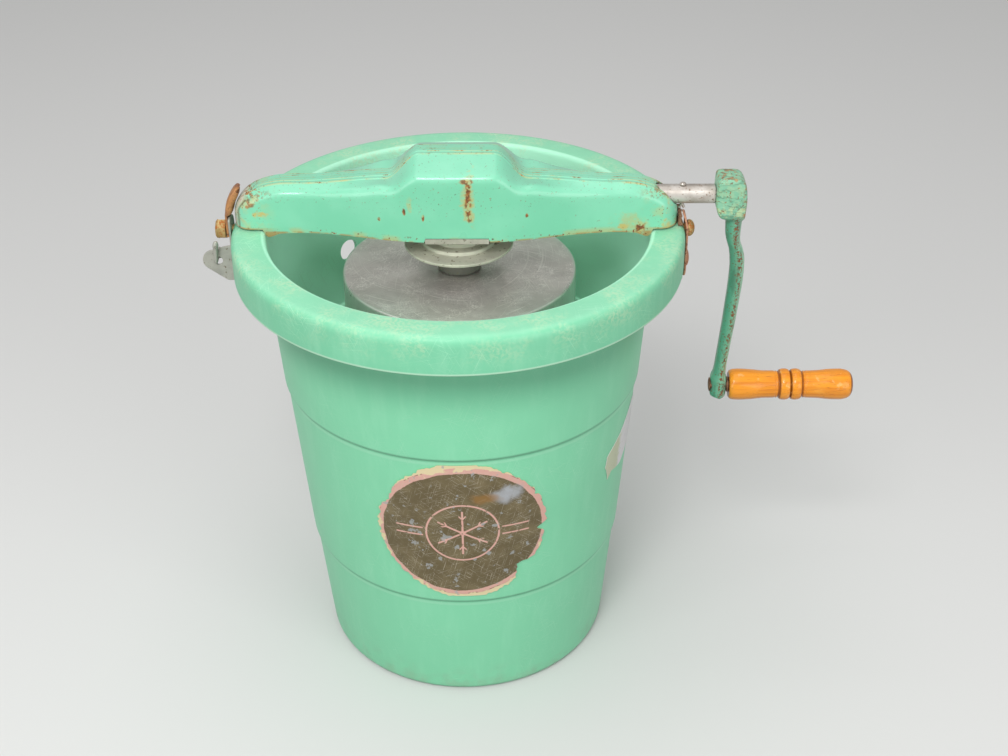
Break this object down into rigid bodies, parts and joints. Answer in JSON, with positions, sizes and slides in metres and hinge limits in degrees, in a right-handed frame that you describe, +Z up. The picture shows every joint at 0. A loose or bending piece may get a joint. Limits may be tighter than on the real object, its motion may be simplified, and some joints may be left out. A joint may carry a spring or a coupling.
{
  "type": "hand crank ice cream freezer",
  "caption": "Round stepped ice tub with a tinned can and lid inside and a geared case across the rim, turned by a side crank with a wooden grip.",
  "frame": {"origin": "the point of the tub's axis on the table, on the flat boss under the floor's middle", "axes": "+Z up along the tub's axis, +X along the gear case towards the crank, -Y towards the label"},
  "size_m": [0.4447, 0.299, 0.377],
  "materials": {
    "tub_plastic": "moulded, lightly scuffed",
    "case_paint": "glossy enamel, chipped",
    "arm_paint": "worn brushed paint over iron",
    "tinplate": "tinned, scratched",
    "zinc": "zinc plated, dull",
    "steel": "worn plating",
    "rusty_steel": "brown rust",
    "brass": "tarnished",
    "bronze": "plain sintered",
    "cast_iron": "tinned casting",
    "varnished_wood": "glossy varnish",
    "plain_wood": "bare",
    "paper": "worn, bare of print"
  },
  "bodies": {
    "tub": {"tub": "tub_plastic", "tub_pivot": "steel", "latch_bolt": "brass", "keeper_plate": "rusty_steel", "keeper_bolt": "brass", "keeper_rivet": "rusty_steel", "front_label": "paper"},
    "gear_case": {"shell_front": "case_paint", "shell_rear": "case_paint", "gear_frame": "zinc", "can_gear_bush": "bronze", "dasher_gear_bush": "bronze", "inner_bush": "bronze", "right_bracket": "zinc", "outer_bush": "bronze", "left_bracket": "zinc", "left_strap": "rusty_steel", "end_stop": "rusty_steel", "stop_rivet": "steel"},
    "crank": {"crank_shaft": "steel", "bevel_pinion": "cast_iron", "pinion_pin": "steel", "shaft_cotter": "steel", "crank_arm": "arm_paint", "grip_pin": "steel"},
    "grip": {"grip": "varnished_wood"},
    "can_drive": {"can_gear": "cast_iron", "drive_disc": "zinc", "drive_screw": "steel"},
    "dasher_drive": {"dasher_gear": "cast_iron", "gear_clip": "steel"},
    "can": {"can": "tinplate", "can_cup": "steel", "can_stud": "steel"},
    "lid": {"can_lid": "tinplate", "lid_socket": "zinc"},
    "dasher": {"dasher_frame": "cast_iron", "dasher_stem": "tinplate", "scraper_left": "plain_wood", "scraper_right": "plain_wood"},
    "latch": {"latch_lever": "zinc", "latch_cotter": "steel"}
  },
  "joints": [
    {"name": "case_lift", "type": "slide", "parent": "tub", "child": "gear_case", "axis": [0, 0, 1], "range_m": [0, 0.26]},
    {"name": "crank_turn", "type": "hinge", "parent": "gear_case", "child": "crank", "pos_m": [0, 0, 0.3444], "axis": [1, 0, 0], "continuous": true},
    {"name": "grip_spin", "type": "hinge", "parent": "crank", "child": "grip", "pos_m": [0.22, 0, 0.1958], "axis": [1, 0, 0], "continuous": true},
    {"name": "can_drive_turn", "type": "hinge", "parent": "gear_case", "child": "can_drive", "pos_m": [0, 0, 0.311], "axis": [0, 0, 1], "continuous": true},
    {"name": "dasher_drive_turn", "type": "hinge", "parent": "gear_case", "child": "dasher_drive", "pos_m": [0, 0, 0.36], "axis": [0, 0, 1], "continuous": true},
    {"name": "can_turn", "type": "hinge", "parent": "tub", "child": "can", "pos_m": [0, 0, 0.03], "axis": [0, 0, 1], "continuous": true},
    {"name": "lid_lift", "type": "slide", "parent": "can", "child": "lid", "axis": [0, 0, 1], "range_m": [0, 0.13]},
    {"name": "dasher_turn", "type": "hinge", "parent": "tub", "child": "dasher", "pos_m": [0, 0, 0.05], "axis": [0, 0, 1], "continuous": true},
    {"name": "latch_swing", "type": "hinge", "parent": "tub", "child": "latch", "pos_m": [-0.1505, 0, 0.3195], "axis": [1, 0, 0], "range_deg": [0, 90]}
  ],
  "couplings": [
    {"joint": "can_drive_turn", "follows": "crank_turn", "ratio": 0.5},
    {"joint": "dasher_drive_turn", "follows": "crank_turn", "ratio": -0.5},
    {"joint": "can_turn", "follows": "crank_turn", "ratio": 0.5},
    {"joint": "dasher_turn", "follows": "crank_turn", "ratio": -0.5},
    {"joint": "lid_lift", "follows": "case_lift", "ratio": 0.5}
  ]
}
